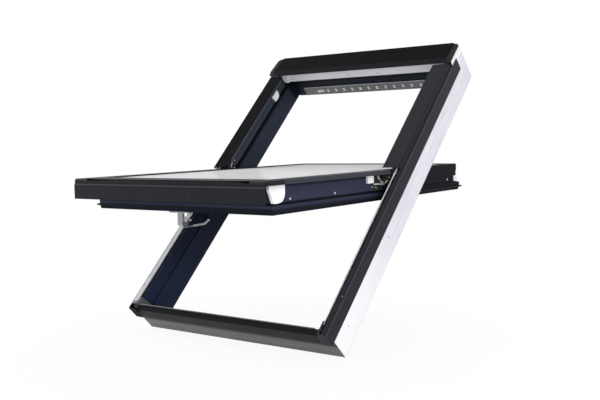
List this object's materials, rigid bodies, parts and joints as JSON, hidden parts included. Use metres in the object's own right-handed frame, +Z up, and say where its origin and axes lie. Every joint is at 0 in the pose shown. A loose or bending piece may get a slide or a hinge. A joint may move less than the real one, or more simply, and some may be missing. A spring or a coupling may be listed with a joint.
{
  "type": "centre-pivot roof window",
  "caption": "Plastic-framed centre-pivot roof window in its roof slope, double-glazed sash tilted half open, with outer covers, vent strip, hinges and a handle.",
  "frame": {"origin": "centre of the sill's room-side face, the lower edge of the window on the lining", "axes": "+X across the window to the right seen from outside, +Y level and into the roof, +Z up; the window's plane is pitched 45 degrees about X"},
  "size_m": [0.784, 1.1644, 0.9454],
  "materials": {
    "white_plastic": "satin",
    "charcoal_sheet": "matt coat",
    "charcoal_plastic": "matt",
    "black_seal": "matt",
    "clear_glass": "clear",
    "spacer_metal": "satin",
    "hinge_steel": "zinc plated",
    "grey_plastic": "matt",
    "handle_metal": "satin"
  },
  "bodies": {
    "frame": {"frame_side_left": "white_plastic", "frame_side_right": "white_plastic", "frame_sill": "white_plastic", "frame_head": "white_plastic", "side_seal_left": "black_seal", "side_seal_right": "black_seal", "head_strip": "white_plastic", "vent_grille": "grey_plastic", "stop_block_left": "white_plastic", "stop_block_right": "white_plastic", "side_cover_left": "charcoal_sheet", "side_cover_right": "charcoal_sheet", "upper_cover_left": "charcoal_sheet", "upper_cover_right": "charcoal_sheet", "cover_carrier_left": "charcoal_plastic", "cover_carrier_right": "charcoal_plastic", "hood_block_left": "white_plastic", "hood_block_right": "white_plastic", "hood": "charcoal_sheet", "hood_cap_left": "charcoal_plastic", "hood_cap_right": "charcoal_plastic", "sill_cover": "charcoal_sheet", "sill_seal": "black_seal", "keeper_plate": "hinge_steel", "corner_seal_left": "grey_plastic", "corner_seal_right": "grey_plastic", "frame_hinge_left": "hinge_steel", "frame_hinge_right": "hinge_steel", "frame_screws": "hinge_steel"},
    "sash": {"sash_side_left": "white_plastic", "sash_side_right": "white_plastic", "sash_sill": "white_plastic", "sash_head": "white_plastic", "outer_pane": "clear_glass", "inner_pane": "clear_glass", "pane_spacer": "spacer_metal", "glass_bedding": "black_seal", "glazing_seal": "black_seal", "sash_cladding": "charcoal_sheet", "sash_cover_left": "charcoal_sheet", "sash_cover_right": "charcoal_sheet", "sash_trim_left": "charcoal_sheet", "sash_trim_right": "charcoal_sheet", "sash_trim_head": "charcoal_sheet", "corner_plug_left": "white_plastic", "corner_plug_right": "white_plastic", "end_block_left": "white_plastic", "end_block_right": "white_plastic", "sash_hinge_left": "hinge_steel", "sash_hinge_right": "hinge_steel", "hinge_guide_left": "white_plastic", "hinge_guide_right": "white_plastic", "sash_screws": "hinge_steel", "sash_fin": "black_seal", "drain_plugs": "black_seal", "handle_rosette": "handle_metal"},
    "handle": {"handle_lever": "handle_metal"},
    "bolt": {"lock_bolt": "hinge_steel"},
    "shutter": {"vent_shutter": "grey_plastic"}
  },
  "joints": [
    {"name": "sash_pivot", "type": "hinge", "parent": "frame", "child": "sash", "pos_m": [0, 0.29274, 0.52043], "axis": [1, 0, 0], "range_deg": [-115.7, 44.3]},
    {"name": "handle_turn", "type": "hinge", "parent": "sash", "child": "handle", "pos_m": [-0.018, -0.24463, 0.38386], "axis": [0, -0.012, 0.9999], "range_deg": [0, 90]},
    {"name": "bolt_slide", "type": "slide", "parent": "sash", "child": "bolt", "axis": [0, -0.9999, -0.013], "range_m": [0, 0.0145]},
    {"name": "vent_slide", "type": "slide", "parent": "frame", "child": "shutter", "axis": [1, 0, 0], "range_m": [0, 0.0185]}
  ],
  "couplings": [
    {"joint": "bolt_slide", "follows": "handle_turn", "m_per_rad": 0.0089127}
  ]
}
